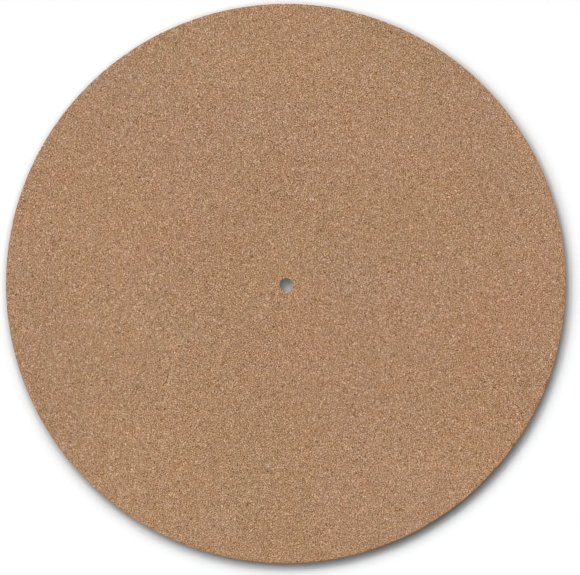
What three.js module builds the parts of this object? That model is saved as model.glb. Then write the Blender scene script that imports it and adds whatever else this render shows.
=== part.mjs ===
// Turntable platter mat: one disc punched from a sheet of pressed cork granules, with a hole
// in the middle that drops over the record spindle. Millimetres, +Z up. The origin is on the
// axis of the hole, at the face that lies on the platter.

import * as THREE from 'three';

// Driving dimensions
const DISC_DIAMETER = 300;
const SHEET_THICKNESS = 3;
const SPINDLE_HOLE_DIAMETER = 7.2;

// The punch leaves the edges nearly square: each one is eased by a small round.
const RIM_EASE = 0.15;
const HOLE_EASE = 0.1;

// How finely the round forms are cut into flats
const FACET_SAG = 0.025;
const EASE_STEPS = 2;

// Finish: pale brown cork, sanded and left raw
const CORK_COLOUR = 0xad876a;
const CORK_ROUGHNESS = 0.92;

// The number of flats round the disc. The middle of each flat lies no more than FACET_SAG
// inside the true circle. A multiple of four keeps the disc's width equal along X and Y.
function flatsRound(radius) {
  const halfFlatAngle = Math.acos(1 - FACET_SAG / radius);
  return 4 * Math.ceil(Math.PI / halfFlatAngle / 4);
}

// An eased edge never takes more than this share of the sheet's thickness, so that a wall
// stands between the upper and the lower edge.
function easeWithin(radius) {
  const largestShare = 0.4;
  return Math.min(radius, largestShare * SHEET_THICKNESS);
}

// A quarter round in the section, counterclockwise from startAngle about its own centre.
function quarterRound(centreR, centreZ, radius, startAngle) {
  const points = [];
  for (let step = 0; step <= EASE_STEPS; step += 1) {
    const angle = startAngle + (step / EASE_STEPS) * (Math.PI / 2);
    const r = centreR + radius * Math.cos(angle);
    const z = centreZ + radius * Math.sin(angle);
    points.push(new THREE.Vector2(r, z));
  }
  return points;
}

// The section of the ring on one side of the axis, as a closed loop: lower rim edge, upper
// rim edge, upper hole edge, lower hole edge and back to the start.
function matSection() {
  const rimRadius = DISC_DIAMETER / 2;
  const holeRadius = SPINDLE_HOLE_DIAMETER / 2;
  const rimEase = easeWithin(RIM_EASE);
  const holeEase = easeWithin(HOLE_EASE);
  const quarter = Math.PI / 2;
  const section = [
    ...quarterRound(rimRadius - rimEase, rimEase, rimEase, -quarter),
    ...quarterRound(rimRadius - rimEase, SHEET_THICKNESS - rimEase, rimEase, 0),
    ...quarterRound(holeRadius + holeEase, SHEET_THICKNESS - holeEase, holeEase, quarter),
    ...quarterRound(holeRadius + holeEase, holeEase, holeEase, 2 * quarter),
  ];
  section.push(section[0].clone());
  return section;
}

// The section is turned about the axis of the hole, which is then stood up along Z.
function corkMat() {
  const geometry = new THREE.LatheGeometry(matSection(), flatsRound(DISC_DIAMETER / 2));
  geometry.rotateX(Math.PI / 2);
  const material = new THREE.MeshStandardMaterial({
    color: CORK_COLOUR,
    roughness: CORK_ROUGHNESS,
    metalness: 0,
  });
  const mesh = new THREE.Mesh(geometry, material);
  mesh.name = 'cork_mat';
  return mesh;
}

const platterMat = new THREE.Group();
platterMat.add(corkMat());

export default platterMat;
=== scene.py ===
"""Turntable platter mat: a disc of pressed cork granules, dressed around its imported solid.

The mat is one piece. Its two faces are sanded flat, with a fine grain of granules and pores. The
rim and the spindle hole are punched, so their walls show the granules cut through.
"""

import math

import bpy
import numpy as np
from bpy.props import FloatProperty, FloatVectorProperty, IntProperty, PointerProperty
from mathutils import Euler, Matrix, Vector


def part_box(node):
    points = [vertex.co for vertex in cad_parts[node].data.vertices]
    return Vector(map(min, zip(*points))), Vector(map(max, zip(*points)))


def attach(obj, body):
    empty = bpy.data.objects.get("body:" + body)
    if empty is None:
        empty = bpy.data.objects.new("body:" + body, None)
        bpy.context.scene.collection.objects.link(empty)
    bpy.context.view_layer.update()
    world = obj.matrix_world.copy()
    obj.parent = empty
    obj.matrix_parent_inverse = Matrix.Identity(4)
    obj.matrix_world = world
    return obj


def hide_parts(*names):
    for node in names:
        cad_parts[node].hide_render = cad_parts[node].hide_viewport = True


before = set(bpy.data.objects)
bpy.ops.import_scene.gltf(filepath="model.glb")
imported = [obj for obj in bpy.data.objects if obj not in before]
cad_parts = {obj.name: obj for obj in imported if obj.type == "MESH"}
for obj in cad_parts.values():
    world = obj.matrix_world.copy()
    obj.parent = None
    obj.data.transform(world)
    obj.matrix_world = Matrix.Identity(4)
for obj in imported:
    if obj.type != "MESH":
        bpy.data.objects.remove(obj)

bl_info = {
    "name": "Turntable Platter Mat",
    "version": (1, 0, 0),
    "blender": (4, 5, 0),
    "location": "3D View > Sidebar > Platter Mat",
    "description": "Builds a cork platter mat and the pale stage that it lies on",
    "category": "Add Mesh",
}

# The node that this scene dresses and the body that it rides on
NODE = "cork_mat"
BODY = "root"

# The node's box, and its hole, where the smallest distance from the axis is the radius
MAT_LOW, MAT_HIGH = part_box(NODE)
HOLE_RADIUS = min(math.hypot(v.co.x, v.co.y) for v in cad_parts[NODE].data.vertices)
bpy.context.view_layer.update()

# The photograph's frame, in pixels, and the mat's outline in it
IMAGE_WIDTH = 580
IMAGE_HEIGHT = 575
OUTLINE_RADIUS_PX = 280.03
MAT_CENTRE_PX = (286.5, 285.08)

MILLIMETRE = 0.001
BLACK = (0.0, 0.0, 0.0, 1.0)
WHITE = (1.0, 1.0, 1.0, 1.0)

# Sockets of the mix node when it mixes colours, which share their names with other sockets
MIX_FIRST = 6
MIX_SECOND = 7
MIX_RESULT = 2


def srgb(red, green, blue):
    """A colour as it is read off a screen, from 0 to 255, as linear light."""
    levels = (red / 255, green / 255, blue / 255)
    return [v / 12.92 if v <= 0.04045 else ((v + 0.055) / 1.055) ** 2.4 for v in levels]


def length(name, description, millimetres):
    """A size of the mat, given in millimetres."""
    return FloatProperty(
        name=name,
        description=description,
        default=millimetres * MILLIMETRE,
        min=0.0,
        precision=5,
        subtype="DISTANCE",
        unit="LENGTH",
    )


def share(name, description, default):
    """A number from 0 to 1."""
    return FloatProperty(name=name, description=description, default=default, min=0.0, max=1.0)


def angle(name, description, degrees):
    return FloatProperty(
        name=name, description=description, default=math.radians(degrees), subtype="ANGLE"
    )


def colour(name, description, value):
    return FloatVectorProperty(
        name=name, description=description, default=value, min=0.0, max=1.0, subtype="COLOR"
    )


class PlatterMatSizes(bpy.types.PropertyGroup):
    """Sizes of the mat and of its relief."""

    radius: FloatProperty(
        name="Radius",
        description="From the axis of the hole to the rim",
        default=MAT_HIGH.x,
        subtype="DISTANCE",
        unit="LENGTH",
    )
    thickness: FloatProperty(
        name="Thickness",
        description="Thickness of the cork sheet",
        default=MAT_HIGH.z - MAT_LOW.z,
        subtype="DISTANCE",
        unit="LENGTH",
    )
    hole_radius: FloatProperty(
        name="Hole radius",
        description="Half the width of the spindle hole",
        default=HOLE_RADIUS,
        subtype="DISTANCE",
        unit="LENGTH",
    )
    rim_ease: length("Rim ease", "Round on the edges of the rim", 0.15)
    hole_ease: length("Hole ease", "Round on the edges of the spindle hole", 0.1)
    edge_hold: length("Edge hold", "Flat strip that holds each edge crisp", 0.12)
    top_cell: length("Upper face cell", "Size of a facet in the middle of the upper face", 1.3)
    under_cell: length("Under face cell", "Size of a facet in the middle of the underside", 1.5)
    rim_cell: length("Rim cell", "Size of a facet at the rim", 0.65)
    hole_cell: length("Hole cell", "Size of a facet at the spindle hole", 0.35)
    face_relief: length("Face relief", "Depth of the sanded faces' unevenness", 0.04)
    cut_relief: length("Cut relief", "Depth of the granules' relief in the punched walls", 0.14)
    nick_depth: length("Nick depth", "Depth of the nicks where a granule broke off an edge", 0.3)
    face_feature: length("Face feature", "Width of the sanded faces' unevenness", 1.2)
    cut_feature: length("Cut feature", "Width of the granules' relief in the walls", 0.9)
    nick_feature: length("Nick feature", "Width of the nicks in the edges", 1.6)
    hole_relief: share("Hole relief", "Relief and nicks of the hole, as a part of the rim's", 0.3)
    smooth_angle: angle("Smooth angle", "Edges flatter than this are shaded as one surface", 60.0)


class CorkFinish(bpy.types.PropertyGroup):
    """Colours and grain of the pressed cork."""

    dark: colour("Dark granule", "The darkest flecks of bark", srgb(104, 64, 36))
    brown: colour("Brown granule", "Granules darker than most", srgb(153, 111, 85))
    tan: colour("Tan granule", "The granules' middle colour", srgb(177, 135, 112))
    pale: colour("Pale granule", "Granules lighter than most", srgb(201, 161, 142))
    cream: colour("Cream granule", "The palest granules", srgb(236, 196, 184))
    warm_blotches: share("Warm blotches", "How far the blotches differ in warmth", 0.40)
    warm_drift: share("Warm drift", "How far the warmth changes across the mat", 0.33)
    reddish: colour("Reddish tint", "Tint of the warmest blotches", (1.0, 0.925, 0.912))
    cool: colour("Cool tint", "Tint of the coolest blotches", (0.875, 1.0, 1.0))
    yellow_blotches: share("Yellow blotches", "How far the blotches differ in yellow", 0.28)
    yellow_drift: share("Yellow drift", "How far the yellow changes across the mat", 0.31)
    ochre: colour("Ochre tint", "Tint of the yellowest blotches", (1.0, 1.0, 0.64))
    rosy: colour("Rosy tint", "Tint of the least yellow blotches", (1.0, 1.0, 1.0))
    wall_shade: colour("Wall shade", "Shade of the punched rim, full of pores", (0.80, 0.85, 0.90))
    # Partly the pores and partly painted shade: darker and cooler inside the spindle hole.
    bore_painted_shade: colour("Bore shade", "Shade inside the spindle hole", (0.6, 0.66, 0.8))
    granule: length("Granule", "Size of a cork granule", 0.68)
    fleck: length("Fleck", "Size of a fleck inside the granules", 0.30)
    fibre: length("Fibre", "Size of the finest light and dark grain", 0.62)
    blotch: length("Blotch", "Size of the faint blotches", 6.0)
    drift: length("Drift", "Size of the broadest change of tone", 80.0)
    granule_swing: share("Granule swing", "How far the rare granules leave the middle tone", 0.48)
    fleck_swing: share("Fleck swing", "How far every fleck leaves the middle tone", 0.23)
    rare_fleck_swing: share("Rare fleck swing", "How much further the rare flecks go", 0.505)
    fibre_swing: share("Fibre swing", "Strength of the finest light and dark", 0.50)
    blotch_swing: share("Blotch swing", "How far the blotches change the tone", 0.015)
    drift_swing: share("Drift swing", "How far the broadest change goes", 0.047)
    seam_depth: share("Seam depth", "How much darker the seams are", 0.03)
    middle_tone: share("Middle tone", "Tone of plain cork, from dark to cream", 0.469)
    bump: length("Bump", "Height of the finest grain", 0.15)
    roughness: share("Roughness", "Roughness of raw cork", 0.9)
    gloss: share("Gloss", "Gloss of raw cork, where 0.5 is plain plastic", 0.15)


class StageSettings(bpy.types.PropertyGroup):
    """Floor, light and camera."""

    floor_colour: colour("Floor", "Colour of the floor as it is seen", (1.0, 1.0, 1.0))
    # Painted shadow on the floor round the rim: its grey, its reach and how much deeper it is on
    # the shadow's flanks.
    painted_shadow_colour: colour("Contact", "Colour of the floor right at the rim", (0.71, 0.71, 0.71))
    painted_shadow_reach: length("Contact reach", "How far the shade at the rim reaches", 3.4)
    painted_flank_shade: share("Flank shade", "How much darker it is on the shadow's flanks", 0.26)
    # Painted light in the hole: a tint against the cork's warm bounce, a glow though it is no lamp,
    # and painted shade towards the hole's wall.
    hole_painted_tint: colour("Hole floor", "Colour of the floor in the hole", (1.0, 0.94, 0.99))
    hole_painted_glow: colour("Hole glow", "Even light on the floor in the hole", (0.092, 0.117, 0.112))
    hole_painted_shade: share("Hole shade", "How much darker that floor is at the hole's wall", 0.4)
    bounce_colour: colour("Bounce", "The floor as bounced light sees it", (0.4, 0.4, 0.4))
    floor_radius: FloatProperty(
        name="Floor radius",
        description="Reach of the floor around the mat",
        default=6.0,
        subtype="DISTANCE",
        unit="LENGTH",
    )
    level: FloatProperty(
        name="Light level",
        description="Light on a flat surface, where 1 shows a colour as it is written",
        default=1.02,
        min=0.0,
    )
    sky_share: share("Sky share", "Part of the light that comes evenly from all round", 0.11)
    sky_colour: colour("Sky", "Colour of the light from all round", (0.93, 0.98, 1.0))
    lamps: IntProperty(
        name="Lamps", description="Soft lamps in a half circle round the mat", default=7, min=1
    )
    lamp_direction: angle("Lamp direction", "Middle of the row of lamps, from +X to +Y", 122.6)
    lamp_arc: angle("Lamp arc", "Angle that the row of lamps covers", 180.0)
    lamp_spread: angle("Lamp spread", "How fast the lamps fade away from the middle one", 46.0)
    lamp_height: angle("Lamp height", "Angle of the lamps above the floor", 24.3)
    lamp_width: angle("Lamp width", "Width of each lamp, seen from the mat", 25.0)
    camera_distance: FloatProperty(
        name="Camera distance",
        description="From the lens to the mat",
        default=0.97,
        subtype="DISTANCE",
        unit="LENGTH",
    )
    camera_tilt: angle("Camera tilt", "How far the camera leans from straight down", 2.2)
    camera_side: angle("Camera side", "The side that it leans to, from +X to +Y", 114.6)
    sensor: FloatProperty(name="Sensor", description="Sensor width, in mm", default=36.0)


def only(piece):
    """Selects one object and makes it the active one."""
    bpy.ops.object.select_all(action="DESELECT")
    piece.select_set(True)
    bpy.context.view_layer.objects.active = piece


def places(mesh):
    """The vertices' places as an array."""
    found = np.zeros(len(mesh.vertices) * 3, np.float32)
    mesh.vertices.foreach_get("co", found)
    return found.reshape(-1, 3)


def face_rings(inner, outer, inner_cell, outer_cell, cell, hold):
    """Rings of one face, as (radius, facets): fine at both edges and coarser between them."""
    growth = 0.35
    last_step = 1.4

    def cell_at(radius):
        from_hole = inner_cell + growth * (radius - inner)
        from_rim = outer_cell + growth * (outer - radius)
        return min(cell, from_hole, from_rim)

    radii = [inner + hold]
    while radii[-1] + last_step * cell_at(radii[-1]) < outer - hold:
        radii.append(radii[-1] + cell_at(radii[-1]))
    radii.append(outer - hold)
    rings = [(radius, round(math.tau * radius / cell_at(radius))) for radius in radii]
    inner_facets = round(math.tau * inner / inner_cell)
    outer_facets = round(math.tau * outer / outer_cell)
    rings[0] = (rings[0][0], inner_facets)
    rings[-1] = (rings[-1][0], outer_facets)
    return [(inner, inner_facets), *rings, (outer, outer_facets)]


def bridged_rings(name, rings):
    """One surface through a row of rings about the axis, each (radius, height, facets)."""
    bpy.ops.object.select_all(action="DESELECT")
    radius, height, facets = rings[0]
    bpy.ops.mesh.primitive_circle_add(vertices=facets, radius=radius, location=(0, 0, height))
    piece = bpy.context.object
    piece.name = name
    bpy.ops.object.mode_set(mode="EDIT")
    for radius, height, facets in rings[1:]:
        bpy.ops.mesh.primitive_circle_add(vertices=facets, radius=radius, location=(0, 0, height))
    bpy.ops.mesh.select_all(action="SELECT")
    bpy.ops.mesh.bridge_edge_loops(type="SINGLE")
    bpy.ops.object.mode_set(mode="OBJECT")
    return piece


def face_sheet(name, rings, height, seed):
    """One face of the mat. Its rings are stacked up and bridged, and then pressed flat."""
    stack_step = 1.0 * MILLIMETRE
    jitter = 0.25 * MILLIMETRE
    stacked = [(radius, i * stack_step, facets) for i, (radius, facets) in enumerate(rings)]
    sheet = bridged_rings(name, stacked)
    only(sheet)
    bpy.ops.object.transform_apply(location=True, rotation=True, scale=True)
    steady = 2.0 * MILLIMETRE
    radii = np.hypot(*places(sheet.data)[:, :2].T)
    inside = (radii > rings[0][0] + steady) & (radii < rings[-1][0] - steady)
    bpy.ops.object.mode_set(mode="EDIT")
    bpy.ops.mesh.select_mode(type="VERT")
    bpy.ops.mesh.select_all(action="DESELECT")
    bpy.ops.object.mode_set(mode="OBJECT")
    sheet.data.vertices.foreach_set("select", inside)
    bpy.ops.object.mode_set(mode="EDIT")
    bpy.ops.transform.vertex_random(offset=jitter, seed=seed)
    bpy.ops.mesh.select_all(action="SELECT")
    bpy.ops.transform.resize(value=(1, 1, 0), center_override=(0, 0, 0))
    bpy.ops.transform.translate(value=(0, 0, height))
    bpy.ops.object.mode_set(mode="OBJECT")
    return sheet


def wall_rings(radius, ease, thickness, facets, cell, outwards):
    """Rings down one cut wall, from the upper face to the lower one, with both edges eased."""
    ease_steps = 2
    side = 1 if outwards else -1
    quarter = math.pi / 2
    rings = []
    for step in range(ease_steps + 1):
        turn = quarter * step / ease_steps
        ring_radius = radius - side * ease * (1 - math.sin(turn))
        rings.append((ring_radius, thickness - ease * (1 - math.cos(turn))))
    rows = max(2, round((thickness - 2 * ease) / cell))
    for row in range(1, rows):
        rings.append((radius, thickness - ease - (thickness - 2 * ease) * row / rows))
    rings += [(ring_radius, thickness - height) for ring_radius, height in rings[ease_steps::-1]]
    return [(ring_radius, height, facets) for ring_radius, height in rings]


def sink(piece, name, kind, feature, depth, group="", contrast=1.0, brightness=1.0):
    """Sinks the surface by up to depth, by a noise with features of that size."""
    texture = bpy.data.textures.new(name, kind)
    texture.use_clamp = True
    texture.noise_scale = feature
    texture.contrast = contrast
    texture.intensity = brightness
    only(piece)
    bpy.ops.object.modifier_add(type="DISPLACE")
    relief = piece.modifiers[-1]
    relief.texture = texture
    relief.texture_coords = "LOCAL"
    relief.direction = "NORMAL"
    relief.mid_level = 1.0
    relief.strength = depth
    relief.vertex_group = group
    bpy.ops.object.modifier_apply(modifier=relief.name)


def mark(piece, name, chosen, weights):
    """A vertex group that holds the chosen vertices, each with its weight."""
    group = piece.vertex_groups.new(name=name)
    for weight in np.unique(weights[chosen]):
        members = np.flatnonzero(chosen & (weights == weight))
        group.add(members.tolist(), float(weight), "REPLACE")
    return group.name


def lay_bake_map(piece, sizes):
    """The piece's own UV map: the upper face large, the underside small, the walls as strips."""
    margin = 0.004
    strip = 0.014
    top_share = 0.375
    under_share = 0.193
    top_centre = np.array([margin + top_share, 1 - margin - top_share])
    under_low = 2 * margin + strip
    under_centre = np.array([1 - margin - under_share, under_low + under_share])

    mesh = piece.data
    count = len(mesh.loops)
    corner_vertex = np.zeros(count, np.int32)
    mesh.loops.foreach_get("vertex_index", corner_vertex)
    normal = np.zeros(len(mesh.polygons) * 3, np.float32)
    mesh.polygons.foreach_get("normal", normal)
    upright = normal.reshape(-1, 3)[:, 2]
    centre = np.zeros(len(mesh.polygons) * 3, np.float32)
    mesh.polygons.foreach_get("center", centre)
    centre = centre.reshape(-1, 3)
    sides = np.zeros(len(mesh.polygons), np.int32)
    mesh.polygons.foreach_get("loop_total", sides)
    face_of = np.repeat(np.arange(len(mesh.polygons)), sides)

    place = places(mesh)[corner_vertex]
    facing = upright[face_of]
    middle = centre[face_of]
    flat = 0.5
    is_top = facing > flat
    is_under = facing < -flat
    is_wall = ~(is_top | is_under)
    far = np.hypot(middle[:, 0], middle[:, 1]) > sizes.radius / 2
    is_rim = is_wall & far
    is_bore = is_wall & ~far

    uv = np.zeros((count, 2))
    across = place[:, :2] / sizes.radius
    uv[is_top] = top_centre + top_share * across[is_top]
    mirrored = across * np.array([-1, 1])
    uv[is_under] = under_centre + under_share * mirrored[is_under]

    turn = np.arctan2(place[:, 1], place[:, 0]) / math.tau
    middle_turn = np.arctan2(middle[:, 1], middle[:, 0]) / math.tau
    turn = middle_turn + (turn - middle_turn + 0.5) % 1.0 - 0.5
    along = margin + (1 - 2 * margin) * (turn + 0.5)
    up = margin + strip * np.clip(place[:, 2] / sizes.thickness, 0, 1)
    uv[is_rim] = np.column_stack([along, up])[is_rim]

    bore_width = 0.1
    bore_low = under_low
    bore_along = margin + bore_width * (turn + 0.5)
    bore_up = bore_low + strip * np.clip(place[:, 2] / sizes.thickness, 0, 1)
    uv[is_bore] = np.column_stack([bore_along, bore_up])[is_bore]

    layer = mesh.uv_layers.new(name="OFBake")
    layer.data.foreach_set("uv", np.clip(uv, 0, 1).astype(np.float32).ravel())
    mesh.uv_layers.active = layer
    layer.active_render = True


class Tree:
    """A material's nodes, added one call at a time."""

    def __init__(self, nodes):
        self.tree = nodes
        self.tree.nodes.clear()

    def add(self, kind, sockets=None, **settings):
        """Adds a node, sets it up and links or fills its sockets."""
        made = self.tree.nodes.new(kind)
        for name, value in settings.items():
            setattr(made, name, value)
        for name, value in (sockets or {}).items():
            if isinstance(value, bpy.types.NodeSocket):
                self.tree.links.new(value, made.inputs[name])
            else:
                made.inputs[name].default_value = value
        return made

    def math(self, operation, first, second=0.0, third=0.0):
        node = self.add("ShaderNodeMath", {0: first, 1: second, 2: third}, operation=operation)
        return node.outputs[0]

    def centred(self, value, weight):
        """A value from 0 to 1 as a swing of that weight on both sides of nothing."""
        return self.math("MULTIPLY_ADD", value, 2 * weight, -weight)

    def peaked(self, value, weight, power):
        """The same, but with only a few values that swing far. The power is an odd number."""
        swing = self.centred(value, 1.0)
        return self.math("MULTIPLY", self.math("POWER", swing, power), weight)

    def channels(self, value):
        """The three channels of a colour, each from 0 to 1."""
        return self.add("ShaderNodeSeparateColor", {0: value}).outputs

    def total(self, *values):
        result = values[0]
        for value in values[1:]:
            result = self.math("ADD", result, value)
        return result

    def mix(self, factor, first, second, blend="MIX"):
        node = self.add(
            "ShaderNodeMix",
            {"Factor": factor, MIX_FIRST: first, MIX_SECOND: second},
            data_type="RGBA",
            blend_type=blend,
        )
        return node.outputs[MIX_RESULT]

    def between(self, value, low, high):
        """0 at low and 1 at high, smoothly."""
        node = self.add(
            "ShaderNodeMapRange",
            {"Value": value, "From Min": low, "From Max": high},
            interpolation_type="SMOOTHSTEP",
        )
        return node.outputs["Result"]

    def radius(self, place):
        """The distance from the upright axis."""
        flat = self.add("ShaderNodeVectorMath", {0: place, 1: (1, 1, 0)}, operation="MULTIPLY")
        node = self.add("ShaderNodeVectorMath", {0: flat.outputs[0]}, operation="LENGTH")
        return node.outputs["Value"]

    def noise(self, place, feature, detail=2.0, roughness=0.5):
        """Soft noise with features of that size in metres."""
        return self.add(
            "ShaderNodeTexNoise",
            {"Vector": place, "Scale": 1 / feature, "Detail": detail, "Roughness": roughness},
        )

    def crisp(self, place, feature):
        """Noise less the noise beside it, which leaves only its finest light and dark."""
        slant = Euler((0.7, 0.4, 0.3))
        slanted = self.add(
            "ShaderNodeVectorRotate",
            {"Vector": place, "Rotation": slant},
            rotation_type="EULER_XYZ",
        ).outputs[0]
        here = self.noise(slanted, feature, detail=0.0).outputs["Fac"]
        around = []
        for turn in (0.0, math.tau / 3, -math.tau / 3):
            aside = slant.to_matrix() @ Vector((math.cos(turn), math.sin(turn), 0)) * feature
            beside = self.add("ShaderNodeVectorMath", {0: slanted, 1: aside}, operation="ADD")
            around.append(self.noise(beside.outputs[0], feature, detail=0.0).outputs["Fac"])
        return self.math("MULTIPLY_ADD", self.total(*around), -1 / 3, here)

    def cells(self, place, size, feature="F1"):
        """Packed cells of that size in metres."""
        return self.add(
            "ShaderNodeTexVoronoi", {"Vector": place, "Scale": 1 / size}, feature=feature
        )

    def seen_directly(self):
        """1 for the camera and for what shows in a gloss or through glass, and 0 for light."""
        path = self.add("ShaderNodeLightPath").outputs
        seen = self.math("MAXIMUM", path["Is Camera Ray"], path["Is Glossy Ray"])
        return self.math("MAXIMUM", seen, path["Is Transmission Ray"])


def opaque(rgb):
    return (*rgb, 1.0)


def wandering(t, place, granule):
    """The place, moved about a little, so that no two granules have the same outline."""
    reach = 0.3 * granule
    wander = t.noise(place, granule, detail=1.0).outputs["Color"]
    shift = t.add(
        "ShaderNodeVectorMath", {0: wander, 1: (0.5, 0.5, 0.5)}, operation="SUBTRACT"
    ).outputs[0]
    return t.add(
        "ShaderNodeVectorMath",
        {0: shift, 1: (reach, reach, reach), 2: place},
        operation="MULTIPLY_ADD",
    ).outputs[0]


def cork_tone(t, place, granules, flecks, drift, finish):
    """How pale the cork is, from 0 for the darkest flecks to 1 for the creamiest."""
    granule_rarity = 15.0
    fleck_rarity = 5.0
    seam_start = 0.6
    seam_end = 0.9
    granule_tone = t.channels(granules.outputs["Color"])[0]
    fleck_tone = t.channels(flecks.outputs["Color"])[1]
    fibre = t.crisp(place, finish.fibre)
    blotch = t.noise(place, finish.blotch, detail=2.0).outputs["Fac"]
    seam = t.between(granules.outputs["Distance"], seam_start, seam_end)
    return t.total(
        t.peaked(granule_tone, finish.granule_swing, granule_rarity),
        t.centred(fleck_tone, finish.fleck_swing),
        t.peaked(fleck_tone, finish.rare_fleck_swing, fleck_rarity),
        t.math("MULTIPLY", fibre, finish.fibre_swing),
        t.centred(blotch, finish.blotch_swing),
        t.centred(drift, finish.drift_swing),
        t.math("MULTIPLY", seam, -finish.seam_depth),
        finish.middle_tone,
    )


def cork_colour(t, tone, finish):
    """The colour of each tone, in even steps from dark to cream."""
    palette = t.add("ShaderNodeValToRGB", {"Fac": tone})
    ramp = palette.color_ramp
    steps = (finish.dark, finish.brown, finish.tan, finish.pale, finish.cream)
    while len(ramp.elements) < len(steps):
        ramp.elements.new(1.0)
    for i, (element, value) in enumerate(zip(ramp.elements, steps)):
        element.position = i / (len(steps) - 1)
        element.color = opaque(value)
    return palette.outputs["Color"]


def tinted(t, place, plain, drifts, finish):
    """The plain colour, warmer and yellower from place to place."""
    hues = t.channels(t.noise(place, finish.blotch, detail=1.0).outputs["Color"])
    warm = t.total(
        t.centred(hues[0], finish.warm_blotches), t.centred(drifts[0], finish.warm_drift), 0.5
    )
    yellow = t.total(
        t.centred(hues[1], finish.yellow_blotches), t.centred(drifts[1], finish.yellow_drift), 0.5
    )
    warm_tint = t.mix(warm, opaque(finish.cool), opaque(finish.reddish))
    yellow_tint = t.mix(yellow, opaque(finish.rosy), opaque(finish.ochre))
    warmed = t.mix(1.0, plain, warm_tint, "MULTIPLY")
    return t.mix(1.0, warmed, yellow_tint, "MULTIPLY")


def with_dark_walls(t, place, face, finish, sizes):
    """The face's colour, but darker in the punched walls, which are full of open pores. Inside the
    spindle hole they are darker and cooler still, partly for the pores and partly as painted shade
    in the bore.
    """
    middle = 0.5 * sizes.thickness
    wall_end = middle - 0.8 * sizes.hole_ease
    height = t.add("ShaderNodeSeparateXYZ", {0: place}).outputs["Z"]
    from_middle = t.math("ABSOLUTE", t.math("SUBTRACT", height, middle))
    on_wall = t.math("LESS_THAN", from_middle, wall_end)
    far_out = t.math("GREATER_THAN", t.radius(place), 0.5 * sizes.radius)
    # The bore's colour holds painted shade as well as its pores.
    shade = t.mix(far_out, opaque(finish.bore_painted_shade), opaque(finish.wall_shade))
    return t.mix(on_wall, face, shade, "MULTIPLY")


def cork_material(finish, sizes):
    """Raw pressed cork: packed granules in close tans, darker seams, flecks and blotches."""
    granule_dome = 0.55
    fleck_dome = 0.25
    material = bpy.data.materials.new("pressed cork")
    material.use_nodes = True
    t = Tree(material.node_tree)
    place = t.add("ShaderNodeTexCoord").outputs["Object"]
    moved = wandering(t, place, finish.granule)
    granules = t.cells(moved, finish.granule)
    flecks = t.cells(moved, finish.fleck)
    drifts = t.channels(t.noise(place, finish.drift, detail=1.0).outputs["Color"])

    tone = cork_tone(t, place, granules, flecks, drifts[2], finish)
    face = tinted(t, place, cork_colour(t, tone, finish), drifts, finish)
    surface = with_dark_walls(t, place, face, finish, sizes)

    # Each granule and fleck stands a little proud of its seams.
    height = t.total(
        t.math("MULTIPLY", granules.outputs["Distance"], -granule_dome),
        t.math("MULTIPLY", flecks.outputs["Distance"], -fleck_dome),
    )
    grain = t.add("ShaderNodeBump", {"Height": height, "Strength": 1.0, "Distance": finish.bump})
    shader = t.add(
        "ShaderNodeBsdfPrincipled",
        {
            "Base Color": surface,
            "Roughness": finish.roughness,
            "Specular IOR Level": finish.gloss,
            "Normal": grain.outputs["Normal"],
        },
    )
    t.add("ShaderNodeOutputMaterial", {"Surface": shader.outputs[0]})
    return material


class PLATTERMAT_OT_build_mat(bpy.types.Operator):
    """Build the cork mat: two faces, the punched rim and the spindle hole"""

    bl_idname = "platter_mat.build_mat"
    bl_label = "Build Cork Mat"

    def execute(self, context):
        sizes = context.scene.platter_mat_sizes
        weld = 0.01 * MILLIMETRE
        rim_edge = sizes.radius - sizes.rim_ease
        hole_edge = sizes.hole_radius + sizes.hole_ease

        def rings(cell):
            return face_rings(
                hole_edge, rim_edge, sizes.hole_cell, sizes.rim_cell, cell, sizes.edge_hold
            )

        top_rings = rings(sizes.top_cell)
        under_rings = rings(sizes.under_cell)
        rim_facets = top_rings[-1][1]
        hole_facets = top_rings[0][1]
        rim = wall_rings(
            sizes.radius, sizes.rim_ease, sizes.thickness, rim_facets, sizes.rim_cell, True
        )
        bore = wall_rings(
            sizes.hole_radius, sizes.hole_ease, sizes.thickness, hole_facets, sizes.hole_cell, False
        )
        parts = [
            face_sheet("upper_face", top_rings, sizes.thickness, seed=3),
            face_sheet("under_face", under_rings, 0.0, seed=8),
            bridged_rings("rim_wall", rim),
            bridged_rings("hole_wall", bore),
        ]
        for part in parts:
            part.select_set(True)
        mat = parts[0]
        context.view_layer.objects.active = mat
        bpy.ops.object.join()
        mat.name = "cork_platter_mat"
        mat.data.name = mat.name
        only(mat)
        bpy.ops.object.transform_apply(location=True, rotation=True, scale=True)
        bpy.ops.object.mode_set(mode="EDIT")
        bpy.ops.mesh.select_all(action="SELECT")
        bpy.ops.mesh.remove_doubles(threshold=weld)
        bpy.ops.mesh.normals_make_consistent(inside=False)
        bpy.ops.object.mode_set(mode="OBJECT")

        radii = np.hypot(*places(mat.data)[:, :2].T)
        heights = places(mat.data)[:, 2]
        reach = 0.05 * MILLIMETRE
        cut = (radii > rim_edge - reach) | (radii < hole_edge + reach)
        ease = max(sizes.rim_ease, sizes.hole_ease) + reach
        on_wall = cut & (heights > ease) & (heights < sizes.thickness - ease)
        weights = np.where(radii < sizes.radius / 2, sizes.hole_relief, 1.0)
        walls = mark(mat, "cut walls", on_wall, weights)
        edges = mark(mat, "cut edges", cut & ~on_wall, weights)
        sink(mat, "sanded face", "CLOUDS", sizes.face_feature, sizes.face_relief)
        sink(mat, "cut granules", "VORONOI", sizes.cut_feature, sizes.cut_relief, walls)
        sink(
            mat,
            "nicks",
            "CLOUDS",
            sizes.nick_feature,
            sizes.nick_depth,
            edges,
            contrast=4.0,
            brightness=2.0,
        )
        bpy.ops.object.shade_smooth_by_angle(angle=sizes.smooth_angle)
        lay_bake_map(mat, sizes)
        mat.data.materials.clear()
        mat.data.materials.append(cork_material(context.scene.platter_mat_finish, sizes))

        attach(mat, BODY)
        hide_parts(NODE)
        return {"FINISHED"}


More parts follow.
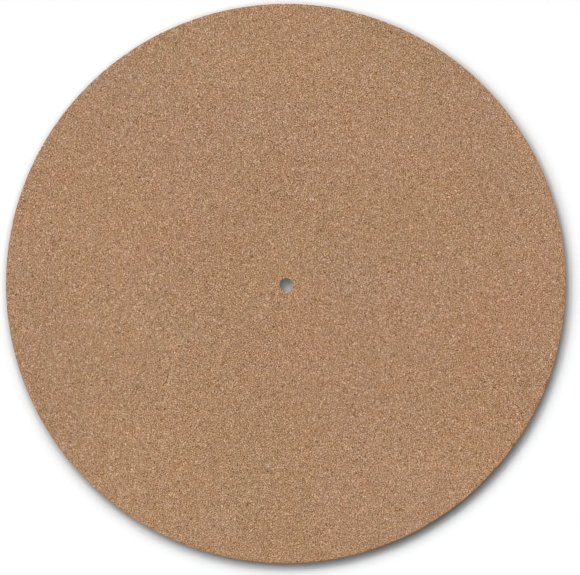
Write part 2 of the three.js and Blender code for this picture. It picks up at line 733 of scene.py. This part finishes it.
def painted_contact_shade(t, place, radius, stage):
    """The floor's colour with a painted contact shadow: darker close to the rim and most of all on
    the shadow's flanks.
    """
    flank_middle = 0.45
    flank_reach = 0.5
    close = t.between(radius, MAT_HIGH.x + stage.painted_shadow_reach, MAT_HIGH.x)

    # Along the shadow's direction this is 1, and across it 0. The flanks lie between the two.
    outwards = t.add("ShaderNodeVectorMath", {0: place}, operation="NORMALIZE").outputs[0]
    away = (-math.cos(stage.lamp_direction), -math.sin(stage.lamp_direction), 0)
    along = t.add("ShaderNodeVectorMath", {0: outwards, 1: away}, operation="DOT_PRODUCT")
    aside = t.math(
        "MULTIPLY_ADD", along.outputs["Value"], 1 / flank_reach, -flank_middle / flank_reach
    )
    flank = t.math("SUBTRACT", 1.0, t.math("MULTIPLY", aside, aside))
    flank_depth = t.math("MULTIPLY", t.math("MAXIMUM", flank, 0.0), stage.painted_flank_shade)
    contact = t.mix(flank_depth, opaque(stage.painted_shadow_colour), BLACK)
    return t.mix(close, opaque(stage.floor_colour), contact)


def floor_material(stage):
    """Floor that is white to the camera and greyer to the light that it throws back, with a painted
    shadow round the rim and painted shade and glow on the floor in the hole.
    """
    material = bpy.data.materials.new("pale floor")
    material.use_nodes = True
    t = Tree(material.node_tree)
    place = t.add("ShaderNodeTexCoord").outputs["Object"]
    radius = t.radius(place)
    # Painted shadow round the rim, put into the floor's colour.
    shaded = painted_contact_shade(t, place, radius, stage)

    # The hole's own floor reaches a little way under the mat. It carries painted light: a tint
    # against the cork's warm bounce, painted shade that deepens towards the hole's wall, and an
    # even glow though it is no lamp.
    in_painted_hole = t.math("LESS_THAN", radius, 1.2 * HOLE_RADIUS)
    hole_painted_falloff = t.math("MULTIPLY_ADD", radius, -stage.hole_painted_shade / HOLE_RADIUS, 1.0)
    painted_hole_floor = t.mix(hole_painted_falloff, BLACK, opaque(stage.hole_painted_tint))
    sheet = t.mix(in_painted_hole, shaded, painted_hole_floor)
    paper = t.add("ShaderNodeBsdfDiffuse", {"Color": sheet})
    # Painted glow on the hole's floor, weakest at the hole's wall.
    strength = t.math("MULTIPLY", in_painted_hole, hole_painted_falloff)
    glow = t.add("ShaderNodeEmission", {"Color": opaque(stage.hole_painted_glow), "Strength": strength})

    lit = t.add("ShaderNodeAddShader", {0: paper.outputs[0], 1: glow.outputs[0]})
    bounce = t.add("ShaderNodeBsdfDiffuse", {"Color": opaque(stage.bounce_colour)})
    both = t.add(
        "ShaderNodeMixShader", {0: t.seen_directly(), 1: bounce.outputs[0], 2: lit.outputs[0]}
    )
    t.add("ShaderNodeOutputMaterial", {"Surface": both.outputs[0]})
    return material


def add_floor(stage):
    """A wide pale floor just under the mat."""
    clearance = 0.02 * MILLIMETRE
    bpy.ops.object.select_all(action="DESELECT")
    bpy.ops.mesh.primitive_circle_add(
        vertices=64,
        radius=stage.floor_radius,
        fill_type="NGON",
        location=(0, 0, MAT_LOW.z - clearance),
    )
    floor = bpy.context.object
    floor.name = "floor"
    bpy.ops.object.transform_apply(location=True, rotation=True, scale=True)
    floor.data.materials.append(floor_material(stage))


def add_sky(stage):
    """Even light from all round, behind which the camera sees plain white."""
    world = bpy.data.worlds.new("studio")
    bpy.context.scene.world = world
    world.use_nodes = True
    t = Tree(world.node_tree)
    seen = t.seen_directly()
    light = t.add(
        "ShaderNodeBackground",
        {"Color": opaque(stage.sky_colour), "Strength": stage.level * stage.sky_share},
    )
    white = t.add("ShaderNodeBackground", {"Color": WHITE, "Strength": 1.0})
    both = t.add("ShaderNodeMixShader", {0: seen, 1: light.outputs[0], 2: white.outputs[0]})
    t.add("ShaderNodeOutputWorld", {"Surface": both.outputs[0]})


def add_lamps(stage):
    """A half circle of wide soft lamps, brightest in the middle and low enough for a shadow."""
    steps = [i / max(1, stage.lamps - 1) - 0.5 for i in range(stage.lamps)]
    offsets = [stage.lamp_arc * step for step in steps]
    weights = [math.exp(-0.5 * (offset / stage.lamp_spread) ** 2) for offset in offsets]
    flat_light = math.pi * stage.level * (1 - stage.sky_share)
    for i, (offset, weight) in enumerate(zip(offsets, weights)):
        turn = stage.lamp_direction + offset
        level = math.cos(stage.lamp_height)
        towards = Vector(
            (math.cos(turn) * level, math.sin(turn) * level, math.sin(stage.lamp_height))
        )
        bpy.ops.object.light_add(
            type="SUN", location=towards, rotation=towards.to_track_quat("Z", "Y").to_euler()
        )
        lamp = bpy.context.object
        lamp.name = f"soft_lamp_{i + 1}"
        lamp.data.angle = stage.lamp_width
        lamp.data.energy = flat_light * weight / sum(weights) / math.sin(stage.lamp_height)


def add_camera(stage):
    """The camera above the mat, at the photograph's angle, size and place in the frame."""
    pixels_per_metre = OUTLINE_RADIUS_PX / MAT_HIGH.x
    focal_px = pixels_per_metre * stage.camera_distance
    right_px = IMAGE_WIDTH / 2 - MAT_CENTRE_PX[0]
    down_px = IMAGE_HEIGHT / 2 - MAT_CENTRE_PX[1]
    target = Vector((right_px, -down_px, 0)) / pixels_per_metre
    target.z = MAT_HIGH.z
    lean = math.sin(stage.camera_tilt)
    away = Vector(
        (
            lean * math.cos(stage.camera_side),
            lean * math.sin(stage.camera_side),
            math.cos(stage.camera_tilt),
        )
    )
    right = Vector((0, 1, 0)).cross(away).normalized()
    upward = away.cross(right)
    turned = Matrix((right, upward, away)).transposed()
    bpy.ops.object.camera_add(
        location=target + away * stage.camera_distance, rotation=turned.to_euler()
    )
    camera = bpy.context.object
    camera.name = "camera"
    camera.data.sensor_width = stage.sensor
    camera.data.lens = focal_px * stage.sensor / IMAGE_WIDTH
    camera.data.clip_start = 0.01
    camera.data.clip_end = 100.0
    bpy.context.scene.camera = camera


class PLATTERMAT_OT_build_stage(bpy.types.Operator):
    """Build the pale floor, the soft light and the camera"""

    bl_idname = "platter_mat.build_stage"
    bl_label = "Build Stage"

    def execute(self, context):
        stage = context.scene.platter_mat_stage
        context.scene.view_settings.view_transform = "Standard"
        add_camera(stage)
        add_floor(stage)
        add_sky(stage)
        add_lamps(stage)
        return {"FINISHED"}


class PLATTERMAT_PT_sidebar(bpy.types.Panel):
    """Sizes, finish and stage of the platter mat"""

    bl_idname = "PLATTERMAT_PT_sidebar"
    bl_label = "Platter Mat"
    bl_space_type = "VIEW_3D"
    bl_region_type = "UI"
    bl_category = "Platter Mat"

    def draw(self, context):
        for operator, group in (
            (PLATTERMAT_OT_build_mat, context.scene.platter_mat_sizes),
            (PLATTERMAT_OT_build_mat, context.scene.platter_mat_finish),
            (PLATTERMAT_OT_build_stage, context.scene.platter_mat_stage),
        ):
            box = self.layout.box()
            for name in group.__annotations__:
                box.prop(group, name)
            box.operator(operator.bl_idname)


CLASSES = (
    PlatterMatSizes,
    CorkFinish,
    StageSettings,
    PLATTERMAT_OT_build_mat,
    PLATTERMAT_OT_build_stage,
    PLATTERMAT_PT_sidebar,
)


def register():
    for cls in CLASSES:
        bpy.utils.register_class(cls)
    bpy.types.Scene.platter_mat_sizes = PointerProperty(type=PlatterMatSizes)
    bpy.types.Scene.platter_mat_finish = PointerProperty(type=CorkFinish)
    bpy.types.Scene.platter_mat_stage = PointerProperty(type=StageSettings)


def unregister():
    del bpy.types.Scene.platter_mat_stage
    del bpy.types.Scene.platter_mat_finish
    del bpy.types.Scene.platter_mat_sizes
    for cls in reversed(CLASSES):
        bpy.utils.unregister_class(cls)


def main():
    register()
    bpy.ops.platter_mat.build_stage()
    bpy.ops.platter_mat.build_mat()


if __name__ == "__main__":
    main()
